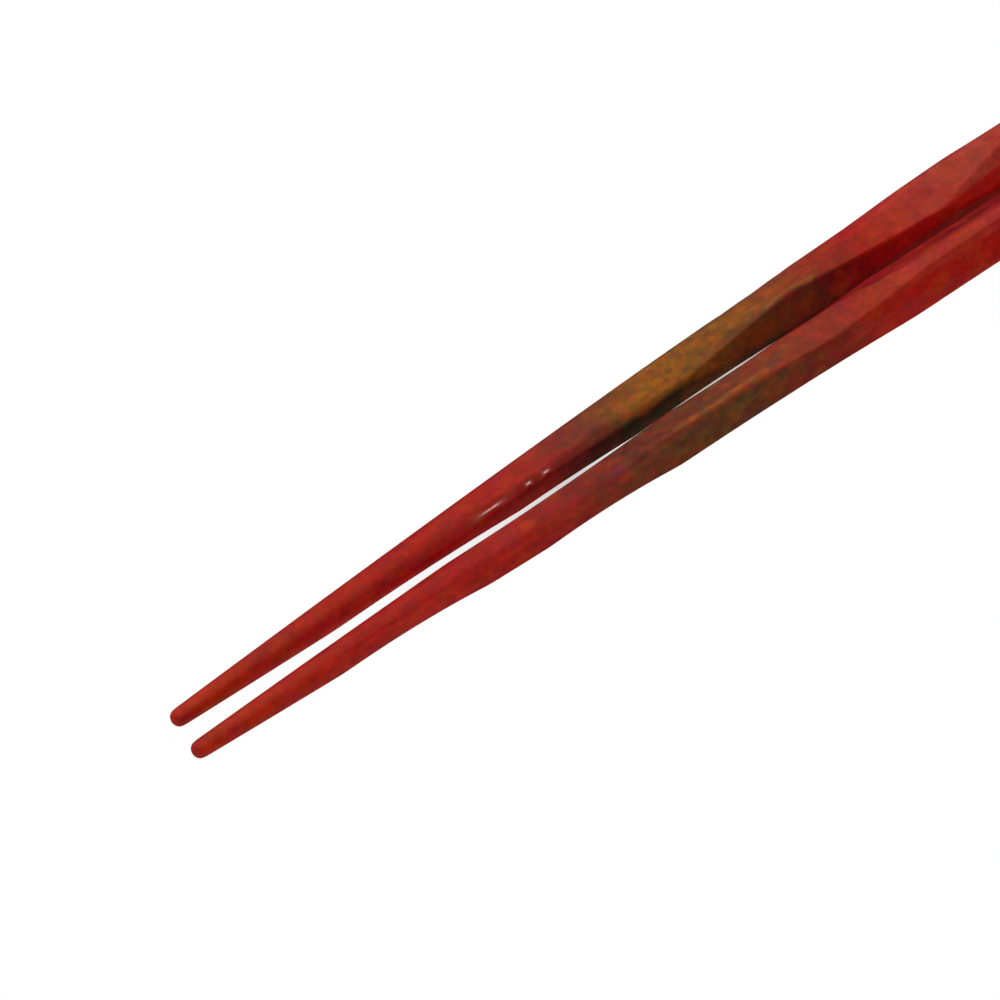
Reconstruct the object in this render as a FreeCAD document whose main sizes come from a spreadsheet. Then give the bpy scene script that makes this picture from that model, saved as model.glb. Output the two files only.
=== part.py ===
import FreeCAD, Part
import os
import Sketcher

# A pair of carved and lacquered wooden chopsticks lying side by side. Each stick is one piece of
# wood: turned to a slim taper with a blunt tip, then pared with long scooped cuts of short flat
# strokes, so that shallow facets with soft ridges between them run round the handle. The frame has
# +X from the tips to the butts, +Y from the front stick to the rear one, +Z up, and its origin
# under the middle of the pair. All sizes are in millimetres and degrees.

doc = FreeCAD.newDocument("chopsticks")
sheet = doc.addObject("Spreadsheet::Sheet", "Sizes")

# Sizes that the two sticks share
SIZES = [
    ("overall_length", 230.0),
    ("taper_length", 167.0),
    ("tip_flat_radius", 0.15),
    ("tip_rounding", 1.05),
    ("handle_radius", 4.3),
    ("butt_bevel", 1.4),
    ("underside_depth", 1.0),
    ("tip_spacing", 5.99),
    ("front_lead", 1.78),
    ("rear_turn", 0.59),
    ("front_turn", 0.83),
]

# The cuts of each stick. A cut has the roll of its flat round the stick (0 is towards the rear,
# 90 is up, 180 is towards the front), the end that its station is measured from, the station of
# its deepest point, its depth below the turned blank there, and the radius of the arc it follows.
# The slight cuts below and along the ridges come first, then those behind, in front and on top.
REAR_CUTS = [
    ("under_tip", 270, "tip", 50, 0.35, 420),
    ("upper_ridge_handle", 40, "tip", 166, 0.48, 420),
    ("upper_ridge_grip", 40, "tip", 121, 0.20, 350),
    ("lower_ridge_grip", 220, "tip", 92, 0.44, 520),
    ("lower_ridge_middle", 220, "tip", 61, 0.20, 400),
    ("lower_ridge_tip", 222, "tip", 35, 0.35, 366),
    ("back_butt", -4, "butt", 20, 1.00, 700),
    ("back_handle", 5, "butt", 60, 1.00, 600),
    ("back_grip", -10, "tip", 130, 1.04, 420),
    ("back_middle", 10, "tip", 95, 0.62, 420),
    ("back_tip", 0, "tip", 60, 0.30, 420),
    ("front_butt", 188, "butt", 24, 0.95, 600),
    ("front_handle", 134, "tip", 159, 1.30, 190),
    ("front_grip", 198, "tip", 131, 0.40, 420),
    ("front_upper", 152, "tip", 112, 0.98, 360),
    ("front_middle", 192, "tip", 84, 0.64, 420),
    ("front_tip", 180, "tip", 58, 0.38, 420),
    ("top_butt", 95, "butt", 18, 1.00, 600),
    ("top_handle", 72, "butt", 54, 1.10, 420),
    ("top_grip", 104, "tip", 134, 1.20, 320),
    ("top_back", 70, "tip", 112, 0.78, 420),
    ("top_middle", 100, "tip", 86, 0.62, 420),
    ("top_tip", 90, "tip", 58, 0.38, 420),
]
FRONT_CUTS = [
    ("under_tip", 270, "tip", 50, 0.35, 420),
    ("upper_ridge_handle", 40, "tip", 151, 0.70, 440),
    ("upper_ridge_grip", 40, "tip", 113, 0.55, 150),
    ("upper_ridge_middle", 38, "tip", 95, 0.42, 370),
    ("upper_ridge_tip", 36, "tip", 54, 0.26, 660),
    ("lower_ridge_handle", 220, "tip", 145, 0.22, 1500),
    ("lower_ridge_grip", 220, "tip", 92, 0.33, 800),
    ("lower_ridge_middle", 220, "tip", 69, 0.42, 170),
    ("lower_ridge_tip", 218, "tip", 31, 0.33, 200),
    ("back_butt", -4, "butt", 20, 1.00, 700),
    ("back_handle", 5, "butt", 60, 1.00, 600),
    ("back_grip", -10, "tip", 130, 1.04, 420),
    ("back_middle", 10, "tip", 95, 0.72, 420),
    ("back_tip", 0, "tip", 60, 0.45, 420),
    ("front_butt", 178, "butt", 15, 1.00, 700),
    ("front_handle", 185, "butt", 45, 1.00, 600),
    ("front_upper", 150, "tip", 146, 1.35, 600),
    ("front_grip", 178, "tip", 118, 0.84, 500),
    ("front_middle", 165, "tip", 90, 0.76, 420),
    ("front_tip", 190, "tip", 56, 0.35, 420),
    ("top_butt", 95, "butt", 16, 1.00, 700),
    ("top_handle", 85, "butt", 45, 1.10, 600),
    ("top_front", 100, "tip", 140, 0.62, 700),
    ("top_back", 60, "tip", 140, 1.13, 560),
    ("top_grip", 92, "tip", 114, 0.90, 300),
    ("top_middle", 75, "tip", 86, 0.75, 420),
    ("top_tip", 92, "tip", 56, 0.45, 420),
]
STICKS = {"rear_chopstick": REAR_CUTS, "front_chopstick": FRONT_CUTS}

# The sheet: one named cell for each size
cells = list(SIZES)
for node, cuts in STICKS.items():
    stick = node.split("_")[0]
    for name, roll, end, station, depth, sweep in cuts:
        values = (("roll", roll), ("from_" + end, station), ("depth", depth), ("sweep", sweep))
        cells += [(f"{stick}_{name}_{key}", value) for key, value in values]
for row, (alias, value) in enumerate(cells, 1):
    sheet.set(f"A{row}", alias)
    sheet.set(f"B{row}", str(value))
    sheet.setAlias(f"B{row}", alias)
doc.recompute()

# Shared formulas. The taper swells in short cones, which meet the straight handle without a bend,
# and each scooped cut is a run of flat strokes of the blade.
TAPER_STEPS = 6
STROKES = 10
HANDLE = "Sizes.handle_radius"
TIP = "(Sizes.tip_flat_radius + Sizes.tip_rounding)"
AXIS_HEIGHT = f"({HANDLE} - Sizes.underside_depth)"
ACROSS = f"(4 * {HANDLE})"


def blank_radius(station):
    """Formula of the turned blank's radius at a station from the tip."""
    return f"({HANDLE} - ({HANDLE} - {TIP}) * max(1 - {station} / Sizes.taper_length; 0) ^ 2)"


def value(formula):
    """The number that a formula of the sheet gives."""
    result = sheet.evalExpression(formula)
    return float(getattr(result, "Value", result))


def new_sketch(body, name, roll=None):
    """A sketch on the plane through the stick's axis, turned about that axis by the roll."""
    sketch = body.newObject("Sketcher::SketchObject", name)
    plane = next(o for o in body.Origin.OriginFeatures if o.Role == "XZ_Plane")
    sketch.AttachmentSupport = [(plane, "")]
    sketch.MapMode = "FlatFace"
    if roll is not None:
        turn = FreeCAD.Rotation(FreeCAD.Vector(1, 0, 0), value(roll) - 90)
        sketch.AttachmentOffset = FreeCAD.Placement(FreeCAD.Vector(), turn)
        sketch.setExpression("AttachmentOffset.Rotation.Angle", f"{roll} - 90")
    return sketch


def bind(sketch, kind, target, formula):
    """Adds a dimension to a sketch and ties it to the sheet."""
    index = sketch.addConstraint(Sketcher.Constraint(kind, *target, value(formula)))
    sketch.setExpression(f"Constraints[{index}]", formula)


def closed_lines(sketch, points):
    """A closed run of straight lines in a sketch, each corner tied to the sheet."""
    spots = [FreeCAD.Vector(value(x), value(z), 0) for x, z in points]
    count = len(spots)
    for i in range(count):
        sketch.addGeometry(Part.LineSegment(spots[i], spots[(i + 1) % count]))
    for i in range(count):
        sketch.addConstraint(Sketcher.Constraint("Coincident", i, 2, (i + 1) % count, 1))
    for i, (x, z) in enumerate(points):
        bind(sketch, "DistanceX", (-1, 1, i, 1), x)
        bind(sketch, "DistanceY", (-1, 1, i, 1), z)


def turned_blank(body):
    """The round blank: blunt rounded tip, taper that swells in short cones, straight handle."""
    outline = [("Sizes.tip_rounding", TIP)]
    for i in range(1, TAPER_STEPS + 1):
        station = f"(Sizes.taper_length * {i} / {TAPER_STEPS})"
        outline.append((station, blank_radius(station)))
    outline.append(("Sizes.overall_length", HANDLE))
    spots = [FreeCAD.Vector(value(x), value(z), 0) for x, z in outline]
    flat = value("Sizes.tip_flat_radius")
    rim, butt = FreeCAD.Vector(0, flat, 0), FreeCAD.Vector(spots[-1].x, 0, 0)
    nose = Part.Circle(FreeCAD.Vector(spots[0].x, flat, 0), FreeCAD.Vector(0, 0, 1), spots[0].x)
    sketch = new_sketch(body, "BlankProfile")
    sketch.addGeometry(Part.LineSegment(FreeCAD.Vector(), rim))
    sketch.addGeometry(Part.ArcOfCircle(nose, nose.parameter(spots[0]), nose.parameter(rim)))
    for near, far in zip(spots, spots[1:]):
        sketch.addGeometry(Part.LineSegment(near, far))
    sketch.addGeometry(Part.LineSegment(spots[-1], butt))
    sketch.addGeometry(Part.LineSegment(butt, FreeCAD.Vector()))
    last = sketch.GeometryCount - 1
    for a, end_a, b, end_b in ((0, 1, -1, 1), (0, 2, 1, 2), (1, 1, 2, 1), (last, 2, 0, 1)):
        sketch.addConstraint(Sketcher.Constraint("Coincident", a, end_a, b, end_b))
    for i in range(2, last):
        sketch.addConstraint(Sketcher.Constraint("Coincident", i, 2, i + 1, 1))
    sketch.addConstraint(Sketcher.Constraint("Vertical", 0))
    sketch.addConstraint(Sketcher.Constraint("Horizontal", last))
    sketch.addConstraint(Sketcher.Constraint("Vertical", last - 1))
    sketch.addConstraint(Sketcher.Constraint("Horizontal", 1, 3, 1, 2))
    sketch.addConstraint(Sketcher.Constraint("Vertical", 1, 3, 1, 1))
    bind(sketch, "DistanceY", (0, 1, 0, 2), "Sizes.tip_flat_radius")
    bind(sketch, "Radius", (1,), "Sizes.tip_rounding")
    for i, (x, z) in enumerate(outline[1:], 2):
        bind(sketch, "DistanceX", (-1, 1, i, 2), x)
        bind(sketch, "DistanceY", (-1, 1, i, 2), z)
    blank = body.newObject("PartDesign::Revolution", "Blank")
    blank.Profile = sketch
    blank.ReferenceAxis = (sketch, ["H_Axis"])
    blank.Angle = 360
    return blank


def pocket(body, name, sketch):
    """Takes away what lies within the sketch, right across the stick."""
    cut = body.newObject("PartDesign::Pocket", name)
    cut.Profile = sketch
    cut.Type = "Length"
    cut.SideType = "Symmetric"
    cut.setExpression("Length", ACROSS)
    return cut


def scooped_cut(body, stick, name, end):
    """One long facet, flat across the stick: short straight strokes that follow a wide arc."""
    cell = f"Sizes.{stick}_{name}"
    station = f"{cell}_from_tip"
    if end == "butt":
        station = f"(Sizes.overall_length - {cell}_from_butt)"
    sweep = f"{cell}_sweep"
    low = f"({blank_radius(station)} - {cell}_depth)"
    rise = f"({HANDLE} + {cell}_depth - {low})"
    reach = f"sqrt({sweep} ^ 2 - ({sweep} - {rise}) ^ 2)"
    title = "".join(word.capitalize() for word in name.split("_"))
    sketch = new_sketch(body, title + "Blade", f"{cell}_roll")
    path = []
    for k in range(STROKES + 1):
        along = f"({reach} * ({2 * k - STROKES}) / {STROKES})"
        path.append((f"{station} + {along}", f"{low} + {sweep} - sqrt({sweep} ^ 2 - {along} ^ 2)"))
    closed_lines(sketch, path)
    return pocket(body, title + "Cut", sketch)


def flat_underside(body):
    """The planed flat that the stick lies on, parallel to its axis."""
    sketch = new_sketch(body, "UndersidePlane")
    left, right = f"-{HANDLE}", f"Sizes.overall_length + {HANDLE}"
    near, far = f"-{AXIS_HEIGHT}", f"-{AXIS_HEIGHT} - {HANDLE}"
    closed_lines(sketch, [(left, near), (right, near), (right, far), (left, far)])
    return pocket(body, "UndersideCut", sketch)


def bevelled_butt(body):
    """The small cone that breaks the sharp rim of the butt."""
    sketch = new_sketch(body, "ButtProfile")
    end = "Sizes.overall_length"
    low, high = f"{HANDLE} - Sizes.butt_bevel", f"{HANDLE} + Sizes.tip_rounding"
    back = f"{end} - Sizes.butt_bevel - Sizes.tip_rounding"
    closed_lines(sketch, [(end, low), (end, high), (back, high)])
    bevel = body.newObject("PartDesign::Groove", "ButtBevel")
    bevel.Profile = sketch
    bevel.ReferenceAxis = (sketch, ["H_Axis"])
    bevel.Angle = 360
    return bevel


# Each stick is carved from its own blank; every cut has to take some wood away.
bodies = {}
for node, cuts in STICKS.items():
    stick = node.split("_")[0]
    body = doc.addObject("PartDesign::Body", node)
    body.Label = node
    steps = [turned_blank(body), flat_underside(body)]
    steps += [scooped_cut(body, stick, name, end) for name, _, end, _, _, _ in cuts]
    steps.append(bevelled_butt(body))
    body.Tip = steps[-1]
    doc.recompute()
    for before, after in zip(steps, steps[1:]):
        if not after.Shape.Volume < before.Shape.Volume:
            raise RuntimeError(f"{node}: {after.Name} takes nothing away")
    bodies[node] = body

# The sticks lie side by side on their undersides, a little further apart at the butts.
turns = {"rear_chopstick": value("Sizes.rear_turn"), "front_chopstick": -value("Sizes.front_turn")}
tips = {
    "rear_chopstick": FreeCAD.Vector(value("Sizes.front_lead"), value("Sizes.tip_spacing"), 0),
    "front_chopstick": FreeCAD.Vector(0, 0, 0),
}
up = FreeCAD.Vector(0, 0, 1)
box = FreeCAD.BoundBox()
for node, body in bodies.items():
    body.Placement = FreeCAD.Placement(tips[node], FreeCAD.Rotation(up, turns[node]))
doc.recompute()
for body in bodies.values():
    box.add(body.Shape.optimalBoundingBox(False, False))
centre = FreeCAD.Vector(box.Center.x, box.Center.y, box.ZMin)
for node, body in bodies.items():
    body.Placement = FreeCAD.Placement(tips[node] - centre, FreeCAD.Rotation(up, turns[node]))
doc.recompute()

# Checks, then one file for each stick
for item in doc.Objects:
    if "Invalid" in item.State or "Error" in item.State:
        raise RuntimeError(f"{item.Label} failed: {item.State}")
for node, body in bodies.items():
    shape = body.Shape
    if shape.isNull() or not shape.isValid() or len(shape.Solids) != 1:
        raise RuntimeError(f"{node}: not one valid solid")
os.makedirs("parts", exist_ok=True)
for node, body in bodies.items():
    body.Shape.exportStep(f"parts/{node}.step")
    bounds = body.Shape.optimalBoundingBox(False, False)
    print(node, "volume", round(body.Shape.Volume, 1), "faces", len(body.Shape.Faces), bounds)
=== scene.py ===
import math
import bpy
import numpy as np
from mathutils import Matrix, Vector


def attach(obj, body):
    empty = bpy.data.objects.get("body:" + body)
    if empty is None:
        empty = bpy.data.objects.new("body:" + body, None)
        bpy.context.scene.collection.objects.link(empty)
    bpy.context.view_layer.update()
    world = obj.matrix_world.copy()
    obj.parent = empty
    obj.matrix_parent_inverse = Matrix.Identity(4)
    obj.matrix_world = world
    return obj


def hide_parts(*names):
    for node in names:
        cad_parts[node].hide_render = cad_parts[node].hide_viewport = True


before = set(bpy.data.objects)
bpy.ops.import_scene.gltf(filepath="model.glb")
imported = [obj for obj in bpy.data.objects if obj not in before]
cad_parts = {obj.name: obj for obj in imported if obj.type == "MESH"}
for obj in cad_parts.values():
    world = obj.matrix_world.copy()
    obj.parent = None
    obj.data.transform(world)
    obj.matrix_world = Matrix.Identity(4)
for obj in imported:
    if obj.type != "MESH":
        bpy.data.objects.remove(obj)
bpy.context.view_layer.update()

# Studio. The pair lies on a plain white sheet that glows and so lights the sides of the sticks
# from below; painted shade greys it along the gap between them. A wide soft box hangs above it and
# a little behind, in an otherwise dark room with a white backdrop. A narrow spot lamp, low to the
# right of the camera, only draws the little glints.
scene = bpy.context.scene
scene.view_settings.view_transform = "Standard"
scene.view_settings.look = "None"


def bare_material(name):
    material = bpy.data.materials.new(name)
    material.use_nodes = True
    material.node_tree.nodes.clear()
    return material


def add(tree, kind, **settings):
    node = tree.nodes.new(kind)
    for key, value in settings.items():
        setattr(node, key, value)
    return node


def white_sheet():
    """Glowing white paper, greyed softly by painted shade along the gap between the two sticks."""
    material = bare_material("white_sheet")
    tree = material.node_tree
    place = add(tree, "ShaderNodeTexCoord")
    split = add(tree, "ShaderNodeSeparateXYZ")
    tree.links.new(place.outputs["Object"], split.inputs[0])
    offset = add(tree, "ShaderNodeMath", operation="SUBTRACT")
    tree.links.new(split.outputs["Y"], offset.inputs[0])
    offset.inputs[1].default_value = 0.0027
    across = add(tree, "ShaderNodeMath", operation="ABSOLUTE")
    tree.links.new(offset.outputs[0], across.inputs[0])
    painted_shade_strip = add(tree, "ShaderNodeMapRange", interpolation_type="SMOOTHSTEP")
    tree.links.new(across.outputs[0], painted_shade_strip.inputs["Value"])
    painted_shade_strip.inputs["From Min"].default_value = 0.0038
    painted_shade_strip.inputs["From Max"].default_value = 0.0024
    # Painted shade along the pair: light near the tips, darkest along the handles where the sticks
    # close up.
    painted_shade_ramp = add(tree, "ShaderNodeValToRGB")
    shift = add(tree, "ShaderNodeMath", operation="MULTIPLY_ADD")
    shift.inputs[1].default_value = 4.0
    shift.inputs[2].default_value = 0.48
    tree.links.new(split.outputs["X"], shift.inputs[0])
    tree.links.new(shift.outputs[0], painted_shade_ramp.inputs["Fac"])
    levels = painted_shade_ramp.color_ramp.elements
    levels[0].position, levels[0].color = 0.0, (1, 1, 1, 1)
    levels[1].position, levels[1].color = 0.94, (1, 1, 1, 1)
    for position, level in ((0.16, 0.97), (0.24, 0.86), (0.285, 0.70), (0.31, 0.64), (0.335, 0.76),
                            (0.36, 0.92), (0.376, 1.0), (0.388, 0.50), (0.428, 0.62),
                            (0.448, 0.38), (0.462, 0.06), (0.52, 0.10), (0.72, 0.16),
                            (0.84, 0.40)):
        levels.new(position).color = (level, level, level, 1)
    shaded = add(tree, "ShaderNodeMix", data_type="FLOAT")
    tree.links.new(painted_shade_strip.outputs[0], shaded.inputs["Factor"])
    shaded.inputs["A"].default_value = 1.0
    tree.links.new(painted_shade_ramp.outputs["Color"], shaded.inputs["B"])
    glow = add(tree, "ShaderNodeEmission")
    tree.links.new(shaded.outputs[0], glow.inputs["Strength"])
    out = add(tree, "ShaderNodeOutputMaterial")
    tree.links.new(glow.outputs[0], out.inputs["Surface"])
    return material


half = 3.0
sheet_mesh = bpy.data.meshes.new("floor_sheet")
sheet_mesh.from_pydata([(-half, -half, 0), (half, -half, 0), (half, half, 0), (-half, half, 0)],
                       [], [(0, 1, 2, 3)])
floor = bpy.data.objects.new("floor_sheet", sheet_mesh)
scene.collection.objects.link(floor)
floor.location = (0, 0, -0.0002)
sheet_mesh.materials.append(white_sheet())
floor.visible_glossy = False

world = bpy.data.worlds.new("soft_box_overhead")
scene.world = world
world.use_nodes = True
tree = world.node_tree
tree.nodes.clear()
place = add(tree, "ShaderNodeTexCoord")
towards = add(tree, "ShaderNodeVectorMath", operation="DOT_PRODUCT")
towards.inputs[1].default_value = (0.0, 0.26, 0.966)
ramp = add(tree, "ShaderNodeValToRGB")
ramp.color_ramp.elements[0].position = 0.0
ramp.color_ramp.elements[0].color = (0.015, 0.015, 0.015, 1)
ramp.color_ramp.elements[1].position = 0.86
ramp.color_ramp.elements[1].color = (1, 1, 1, 1)
for position, level in ((0.17, 0.06), (0.5, 0.24)):
    ramp.color_ramp.elements.new(position).color = (level, level, level, 1)
sky = add(tree, "ShaderNodeBackground")
sky.inputs["Strength"].default_value = 1.4
backdrop = add(tree, "ShaderNodeBackground")
backdrop.inputs["Color"].default_value = (1, 1, 1, 1)
kind_of_ray = add(tree, "ShaderNodeLightPath")
seen = add(tree, "ShaderNodeMixShader")
out = add(tree, "ShaderNodeOutputWorld")
tree.links.new(place.outputs["Generated"], towards.inputs[0])
tree.links.new(towards.outputs["Value"], ramp.inputs["Fac"])
tree.links.new(ramp.outputs["Color"], sky.inputs["Color"])
tree.links.new(kind_of_ray.outputs["Is Camera Ray"], seen.inputs[0])
tree.links.new(sky.outputs[0], seen.inputs[1])
tree.links.new(backdrop.outputs[0], seen.inputs[2])
tree.links.new(seen.outputs[0], out.inputs["Surface"])

PAIR_TURN = math.radians(43.42)
CAMERA_RISE = math.radians(45.0)
LOOK_AT = Vector((-0.05587, 0.00373, 0.0033))
away = Vector((-math.sin(PAIR_TURN) * math.cos(CAMERA_RISE),
               -math.cos(PAIR_TURN) * math.cos(CAMERA_RISE), math.sin(CAMERA_RISE)))
camera_data = bpy.data.cameras.new("camera")
camera_data.sensor_width = 36.0
camera_data.lens = 272.0
camera = bpy.data.objects.new("camera", camera_data)
scene.collection.objects.link(camera)
camera.location = LOOK_AT + away * 1.0
camera.rotation_euler = away.to_track_quat("Z", "Y").to_euler()
scene.camera = camera


def glint_lamp(name, bearing, rise, distance, size, watts, tint, target):
    """A narrow spot that only glints; its bearing is counted from the camera's."""
    heading = PAIR_TURN + math.radians(bearing)
    rise = math.radians(rise)
    back = Vector((-math.sin(heading) * math.cos(rise), -math.cos(heading) * math.cos(rise),
                   math.sin(rise)))
    data = bpy.data.lights.new(name, "SPOT")
    data.shadow_soft_size = size
    data.spot_size = math.radians(1.5)
    data.spot_blend = 0.4
    data.energy = watts
    data.color = tint
    obj = bpy.data.objects.new(name, data)
    scene.collection.objects.link(obj)
    obj.location = target + back * distance
    obj.rotation_euler = back.to_track_quat("Z", "Y").to_euler()
    obj.visible_diffuse = False
    return obj


glint_lamp("glint_lamp", -77.9, 30.9, 1.2, 0.02, 52.0, (0.55, 0.50, 0.82),
           Vector((-0.0545, 0.0035, 0.0055)))

# Rear chopstick. One piece of wood, turned to a slim taper with a blunt tip and then pared with
# long scooped cuts, so that shallow facets with soft ridges run round it. It is coated in
# polished red lacquer, with a worn band of gold and brown-black lacquer part way along. Its
# colours are darker below a ridge, partly as painted shade.
MM = 0.001
STICK_LENGTH, TAPER_LENGTH, HANDLE_RADIUS = 230.0, 167.0, 4.3
TIP_FLAT, TIP_ROUNDING, BUTT_BEVEL, UNDERSIDE = 0.15, 1.05, 1.4, 3.3
RINGS, SIDES = 640, 100


def blank_radius(x):
    """Radius of the turned blank, x millimetres from the tip."""
    bulge = np.maximum(1 - x / TAPER_LENGTH, 0) ** 2
    radius = HANDLE_RADIUS - (HANDLE_RADIUS - TIP_FLAT - TIP_ROUNDING) * bulge
    nose = np.sqrt(np.maximum(TIP_ROUNDING ** 2 - np.maximum(TIP_ROUNDING - x, 0) ** 2, 0))
    return np.where(x < TIP_ROUNDING, TIP_FLAT + nose, radius)


def carved_stick(name, cuts, tip, turn):
    """The lacquered stick as rings of points round its axis, with the ridges a little softened."""
    t = np.linspace(0, 1, 14)
    near = TIP_ROUNDING * (1 - np.cos(t * math.pi / 2))
    x = np.concatenate([near, np.linspace(TIP_ROUNDING, STICK_LENGTH - 2.0, RINGS)[1:],
                        np.linspace(STICK_LENGTH - 2.0, STICK_LENGTH, 13)[1:]])
    around = np.arange(SIDES) * 2 * math.pi / SIDES
    blank = np.maximum(blank_radius(x), 1e-3)
    flats = [(270, np.full_like(x, UNDERSIDE))]
    for roll, station, depth, sweep in cuts:
        low = float(blank_radius(np.float64(station))) - depth
        flats.append((roll, low + (x - station) ** 2 / (2 * sweep)))
    total = (1 / blank)[:, None] ** 110 * np.ones(SIDES)
    bevel = HANDLE_RADIUS - BUTT_BEVEL + (STICK_LENGTH - x)
    total += (1 / bevel)[:, None] ** 110
    for roll, reach in flats:
        facing = np.cos(around - math.radians(roll))
        total += (np.maximum(facing, 0)[None, :] / reach[:, None]) ** 110
    radius = total ** (-1 / 110)
    rows = [np.column_stack([np.full(SIDES, px), r * np.cos(around), r * np.sin(around)])
            for px, r in zip(x, radius)]
    for k in (0.75, 0.4):
        r = radius[-1] * k
        rows.append(np.column_stack([np.full(SIDES, STICK_LENGTH), r * np.cos(around),
                                     r * np.sin(around)]))
    points = np.concatenate(rows)
    count = len(rows)
    points = np.vstack([points, [0, 0, 0], [STICK_LENGTH, 0, 0]])
    c, s = math.cos(math.radians(turn)), math.sin(math.radians(turn))
    placed = np.column_stack([tip[0] + c * points[:, 0] - s * points[:, 1],
                              tip[1] + s * points[:, 0] + c * points[:, 1],
                              UNDERSIDE + points[:, 2]]) * MM
    faces = []
    for i in range(count - 1):
        for j in range(SIDES):
            k = (j + 1) % SIDES
            faces.append((i * SIDES + j, i * SIDES + k, (i + 1) * SIDES + k, (i + 1) * SIDES + j))
    first, last = count * SIDES, count * SIDES + 1
    for j in range(SIDES):
        k = (j + 1) % SIDES
        faces.append((first, k, j))
        faces.append((last, (count - 1) * SIDES + j, (count - 1) * SIDES + k))
    mesh = bpy.data.meshes.new(name)
    mesh.from_pydata(placed.tolist(), [], faces)
    mesh.update()
    mesh.shade_smooth()
    layer = mesh.uv_layers.new(name="along_and_around")
    along = points[:, 0] / STICK_LENGTH
    turnwise = np.append(np.tile(np.arange(SIDES) / SIDES, count), [0.5, 0.5])
    corner = np.empty(len(mesh.loops), dtype=np.int32)
    mesh.loops.foreach_get("vertex_index", corner)
    u, v = along[corner], turnwise[corner]
    starts = np.empty(len(mesh.polygons), dtype=np.int32)
    sizes = np.empty(len(mesh.polygons), dtype=np.int32)
    mesh.polygons.foreach_get("loop_start", starts)
    mesh.polygons.foreach_get("loop_total", sizes)
    owner = np.repeat(np.arange(len(starts)), sizes)
    top = np.zeros(len(starts))
    np.maximum.at(top, owner, v)
    v = np.where((top[owner] > 0.75) & (v < 0.25), v + 1, v)
    layer.data.foreach_set("uv", np.column_stack([u, v]).ravel())
    obj = bpy.data.objects.new(name, mesh)
    scene.collection.objects.link(obj)
    return obj


def link(tree, source, target):
    tree.links.new(source, target)


def math_node(tree, operation, a, b=None, c=None):
    node = add(tree, "ShaderNodeMath", operation=operation)
    for socket, value in zip(node.inputs, (a, b, c)):
        if value is None:
            continue
        if isinstance(value, (int, float)):
            socket.default_value = value
        else:
            link(tree, value, socket)
    return node.outputs[0]


def soft_step(tree, value, low, high):
    node = add(tree, "ShaderNodeMapRange", interpolation_type="SMOOTHSTEP")
    link(tree, value, node.inputs["Value"])
    node.inputs["From Min"].default_value = low
    node.inputs["From Max"].default_value = high
    return node.outputs[0]


def mottle(tree, vector, scale, detail=3.0, roughness=0.55, seed=0.0):
    node = add(tree, "ShaderNodeTexNoise", noise_dimensions="4D")
    link(tree, vector, node.inputs["Vector"])
    node.inputs["W"].default_value = seed
    node.inputs["Scale"].default_value = scale
    node.inputs["Detail"].default_value = detail
    node.inputs["Roughness"].default_value = roughness
    return node.outputs[0]


def blend_colour(tree, factor, a, b):
    node = add(tree, "ShaderNodeMix", data_type="RGBA")
    link(tree, factor, node.inputs["Factor"])
    for socket, value in ((node.inputs[6], a), (node.inputs[7], b)):
        if isinstance(value, tuple):
            socket.default_value = (*value, 1)
        else:
            link(tree, value, socket)
    return node.outputs[2]


def along_ramp(tree, place, stops):
    """Colour by the distance from the tip; the stops are millimetres and colours."""
    node = add(tree, "ShaderNodeValToRGB")
    link(tree, math_node(tree, "DIVIDE", place, 150.0), node.inputs["Fac"])
    points = node.color_ramp.elements
    points[0].position, points[0].color = stops[0][0] / 150.0, (*stops[0][1], 1)
    points[1].position, points[1].color = stops[-1][0] / 150.0, (*stops[-1][1], 1)
    for at, colour in stops[1:-1]:
        points.new(at / 150.0).color = (*colour, 1)
    return node.outputs["Color"]


def hump(tree, value, middle, reach):
    """One at the middle, falling softly to nothing at the reach on either side."""
    off = math_node(tree, "ABSOLUTE", math_node(tree, "SUBTRACT", value, middle))
    return math_node(tree, "SUBTRACT", 1.0, soft_step(tree, off, 0.0, reach))


TINTS = [((0.41, 0.030, 0.002), 0.60), ((0.37, 0.002, 0.018), 0.50)]
FLECKS = [((0.05, 0.035, 0.012), 0.50), ((0.36, 0.045, 0.006), 0.45), ((0.10, 0.08, 0.01), 0.45),
          ((0.11, 0.02, 0.03), 0.40)]


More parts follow.
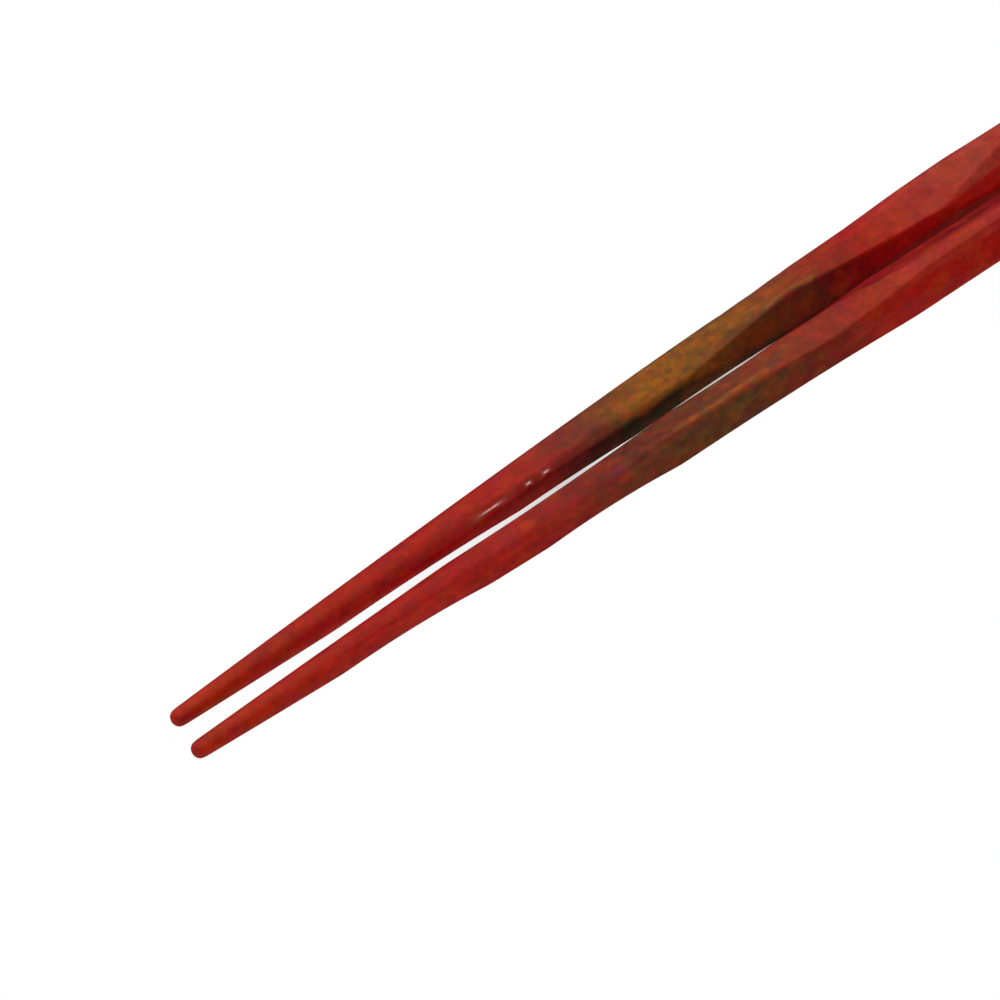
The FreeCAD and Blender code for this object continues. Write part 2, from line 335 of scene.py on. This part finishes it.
def banded_lacquer(name, seed, upper, lower, dark_from, streaks_and_shadows, glints):
    """Red lacquer with a worn gold and brown-black band, dark below a ridge partly as painted
    shade.
    """
    material = bare_material(name)
    tree = material.node_tree
    place = add(tree, "ShaderNodeTexCoord")
    grain = add(tree, "ShaderNodeMapping", vector_type="TEXTURE")
    grain.inputs["Scale"].default_value = (1.6, 1.0, 1.0)
    link(tree, place.outputs["Object"], grain.inputs["Vector"])
    split = add(tree, "ShaderNodeSeparateXYZ")
    link(tree, place.outputs["UV"], split.inputs[0])
    along = math_node(tree, "MULTIPLY", split.outputs["X"], STICK_LENGTH)
    around = split.outputs["Y"]
    drift = math_node(tree, "SUBTRACT", mottle(tree, grain.outputs[0], 300, 4, 0.6, seed), 0.5)
    shifted = math_node(tree, "ADD", along, math_node(tree, "MULTIPLY", drift, 16.0))
    turned = math_node(tree, "ADD", around, math_node(tree, "MULTIPLY", drift, 0.06))
    above = along_ramp(tree, shifted, upper)
    below = along_ramp(tree, shifted, lower)
    edge = along_ramp(tree, along, [(at, (turn, turn, turn)) for at, turn in dark_from])
    past = math_node(tree, "SUBTRACT", turned, edge)
    step = soft_step(tree, past, -0.018, 0.018)
    colour = blend_colour(tree, step, above, below)
    # Streaks of other lacquer, and on the front stick a painted shadow of the rear stick.
    for middle, reach, turn, width, paint, amount in streaks_and_shadows:
        mask = math_node(tree, "MULTIPLY", hump(tree, shifted, middle, reach),
                         hump(tree, turned, turn, width))
        colour = blend_colour(tree, math_node(tree, "MULTIPLY", mask, amount), colour, paint)
    band = hump(tree, shifted, 92, 34)
    plain = math_node(tree, "SUBTRACT", 1.0, band)
    for number, (paint, amount) in enumerate(TINTS):
        patch = soft_step(tree, mottle(tree, grain.outputs[0], 380, 3, 0.6, seed + 30 + number),
                          0.46, 0.64)
        mask = math_node(tree, "MULTIPLY", math_node(tree, "MULTIPLY", plain, patch), amount)
        colour = blend_colour(tree, mask, colour, paint)
    for number, (paint, amount) in enumerate(FLECKS):
        patch = soft_step(tree, mottle(tree, grain.outputs[0], 640, 2, 0.5, seed + 20 + number),
                          0.47, 0.68)
        mask = math_node(tree, "MULTIPLY", math_node(tree, "MULTIPLY", band, patch), amount)
        colour = blend_colour(tree, mask, colour, paint)
    fine = add(tree, "ShaderNodeTexNoise", noise_dimensions="4D")
    link(tree, grain.outputs[0], fine.inputs["Vector"])
    fine.inputs["W"].default_value = seed + 3
    fine.inputs["Scale"].default_value = 1500
    fine.inputs["Detail"].default_value = 2.0
    flecked = add(tree, "ShaderNodeMix", data_type="RGBA", blend_type="OVERLAY")
    flecked.inputs["Factor"].default_value = 0.45
    link(tree, colour, flecked.inputs[6])
    link(tree, fine.outputs["Color"], flecked.inputs[7])
    cloud = mottle(tree, grain.outputs[0], 480, 3, 0.6, seed + 5)
    shade = add(tree, "ShaderNodeMapRange")
    link(tree, cloud, shade.inputs["Value"])
    shade.inputs["From Min"].default_value = 0.3
    shade.inputs["From Max"].default_value = 0.7
    shade.inputs["To Min"].default_value = 0.80
    shade.inputs["To Max"].default_value = 1.20
    shaded = add(tree, "ShaderNodeVectorMath", operation="SCALE")
    link(tree, flecked.outputs[2], shaded.inputs[0])
    link(tree, shade.outputs[0], shaded.inputs["Scale"])
    shader = add(tree, "ShaderNodeBsdfPrincipled")
    link(tree, shaded.outputs[0], shader.inputs["Base Color"])
    rough = add(tree, "ShaderNodeMapRange")
    link(tree, fine.outputs[0], rough.inputs["Value"])
    rough.inputs["To Min"].default_value = 0.30
    rough.inputs["To Max"].default_value = 0.42
    ridge = hump(tree, around, 0.375, 0.075)
    dull = math_node(tree, "MULTIPLY", ridge, hump(tree, along, 60, 70))
    finish = math_node(tree, "MULTIPLY_ADD", dull, 0.35, rough.outputs[0])
    for middle, reach in glints:
        spot = math_node(tree, "MULTIPLY", hump(tree, along, middle, reach), ridge)
        spot = math_node(tree, "MULTIPLY", spot, 0.52)
        finish = math_node(tree, "MAXIMUM", math_node(tree, "SUBTRACT", finish, spot), 0.2)
    link(tree, finish, shader.inputs["Roughness"])
    shader.inputs["IOR"].default_value = 1.5
    shader.inputs["Specular IOR Level"].default_value = 0.19
    shader.inputs["Specular Tint"].default_value = (1.0, 0.84, 0.44, 1)
    bump = add(tree, "ShaderNodeBump")
    bump.inputs["Strength"].default_value = 0.12
    bump.inputs["Distance"].default_value = 0.0001
    link(tree, fine.outputs[0], bump.inputs["Height"])
    link(tree, bump.outputs[0], shader.inputs["Normal"])
    out = add(tree, "ShaderNodeOutputMaterial")
    link(tree, shader.outputs[0], out.inputs["Surface"])
    return material


# Colours above and below the ridge, by millimetres from the tip. On the rear stick the band's dark
# colours below are partly the lacquer's own and partly painted shade on the lower facets.
RED = (0.41, 0.005, 0.003)
TIP_RED = (0.44, 0.017, 0.004)
# The last two colours above, lighter and paler towards the butt, are painted sheen on the upper
# facets.
REAR_ABOVE = [(5, TIP_RED), (35, RED), (56, RED), (66, (0.29, 0.010, 0.008)),
              (73, (0.16, 0.022, 0.015)), (78, (0.24, 0.055, 0.008)), (84, (0.35, 0.098, 0.003)),
              (103, (0.32, 0.096, 0.004)), (109, (0.29, 0.060, 0.006)),
              (117, (0.27, 0.018, 0.006)), (127, RED), (135, (0.47, 0.026, 0.015)),
              (145, (0.44, 0.042, 0.026))]
REAR_BELOW = [(5, TIP_RED), (18, (0.52, 0.028, 0.012)), (33, (0.52, 0.014, 0.008)),
              (46, (0.46, 0.006, 0.006)), (60, (0.48, 0.008, 0.007)), (69, (0.19, 0.009, 0.010)),
              (75, (0.075, 0.014, 0.014)), (81, (0.028, 0.026, 0.012)),
              (88, (0.040, 0.032, 0.010)), (94, (0.26, 0.070, 0.010)),
              (107, (0.18, 0.038, 0.010)), (116, (0.10, 0.016, 0.012)),
              (124, (0.22, 0.005, 0.005)), (132, RED)]
REAR_STREAKS = [(105, 15, 0.322, 0.05, (0.11, 0.032, 0.010), 0.75),
                (111, 10, 0.296, 0.020, (0.40, 0.14, 0.02), 0.6),
                (95, 28, 0.11, 0.06, (0.09, 0.065, 0.025), 0.8),
                (105, 17, 0.56, 0.09, (0.020, 0.024, 0.008), 0.85)]
REAR_EDGE = [(60, 0.405), (91, 0.40), (99, 0.305), (112, 0.295), (119, 0.34), (127, 0.40)]
REAR_CUTS = [
    (40, 166, 0.48, 420), (40, 121, 0.20, 350), (220, 92, 0.44, 520), (220, 61, 0.20, 400),
    (222, 35, 0.35, 366), (270, 50, 0.35, 420),
    (-4, 210, 1.00, 700), (5, 170, 1.00, 600), (-10, 130, 1.04, 420), (10, 95, 0.62, 420),
    (0, 60, 0.30, 420),
    (188, 206, 0.95, 600), (134, 159, 1.30, 190), (198, 131, 0.40, 420), (152, 112, 0.98, 360),
    (192, 84, 0.64, 420), (180, 58, 0.38, 420),
    (95, 212, 1.00, 600), (72, 176, 1.10, 420), (104, 134, 1.20, 320), (70, 112, 0.78, 420),
    (100, 86, 0.62, 420), (90, 58, 0.38, 420),
]
rear = carved_stick("rear_lacquered_stick", REAR_CUTS, (-114.118, 3.381), 0.59)
rear.data.materials.append(banded_lacquer("rear_lacquer", 1.0, REAR_ABOVE, REAR_BELOW, REAR_EDGE,
                                          REAR_STREAKS, [(54.8, 5.5), (61.6, 1.3), (64.8, 1.5)]))
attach(rear, "root")
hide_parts("rear_chopstick")

# Front chopstick. The same wood, shape and lacquer as the rear one, carved by hand with its own
# run of cuts. It lies beside the rear stick, a little further to the left, and they spread
# slightly apart towards the butts.
FRONT_CUTS = [
    (40, 151, 0.70, 440), (40, 113, 0.55, 150), (38, 95, 0.42, 370), (36, 54, 0.26, 660),
    (220, 145, 0.22, 1500), (220, 92, 0.33, 800), (220, 69, 0.42, 170), (218, 31, 0.33, 200),
    (270, 50, 0.35, 420),
    (-4, 210, 1.00, 700), (5, 170, 1.00, 600), (-10, 130, 1.04, 420), (10, 95, 0.72, 420),
    (0, 60, 0.45, 420),
    (178, 215, 1.00, 700), (185, 185, 1.00, 600), (150, 146, 1.35, 600), (178, 118, 0.84, 500),
    (165, 90, 0.76, 420), (190, 56, 0.35, 420),
    (95, 214, 1.00, 700), (85, 185, 1.10, 600), (100, 140, 0.62, 700), (60, 140, 1.13, 560),
    (92, 114, 0.90, 300), (75, 86, 0.75, 420), (92, 56, 0.45, 420),
]
FRONT_ABOVE = [(5, TIP_RED), (30, (0.40, 0.003, 0.003)), (48, (0.38, 0.002, 0.003)),
               (60, (0.29, 0.004, 0.004)), (70, (0.17, 0.005, 0.008)), (77, (0.13, 0.007, 0.006)),
               (86, (0.16, 0.018, 0.005)), (94, (0.19, 0.027, 0.006)),
               (104, (0.28, 0.024, 0.008)), (120, (0.34, 0.008, 0.008)),
               (132, (0.44, 0.024, 0.016))]
FRONT_BELOW = [(5, TIP_RED), (18, TIP_RED), (33, (0.50, 0.022, 0.014)), (46, (0.44, 0.010, 0.006)),
               (54, RED), (66, (0.30, 0.012, 0.006)),
               (74, (0.22, 0.030, 0.010)), (84, (0.16, 0.040, 0.010)),
               (98, (0.15, 0.030, 0.010)), (112, (0.22, 0.010, 0.006)), (122, RED)]
# The last of these is painted shadow: the rear stick's shadow darkening the upper back facets from
# the band to the butt.
FRONT_STREAKS_AND_PAINTED_SHADOW = [(92, 15, 0.305, 0.035, (0.40, 0.11, 0.010), 0.8),
                 (73, 4, 0.32, 0.07, (0.17, 0.02, 0.05), 0.4),
                 (93, 16, 0.38, 0.04, (0.07, 0.05, 0.012), 0.7),
                 (152, 60, 0.135, 0.135, (0.14, 0.001, 0.004), 1.0)]
FRONT_EDGE = [(50, 0.36), (130, 0.36)]
front = carved_stick("front_lacquered_stick", FRONT_CUTS, (-115.898, -2.609), -0.83)
front.data.materials.append(banded_lacquer("front_lacquer", 11.0, FRONT_ABOVE, FRONT_BELOW,
                                           FRONT_EDGE, FRONT_STREAKS_AND_PAINTED_SHADOW, []))
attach(front, "root")
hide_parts("front_chopstick")
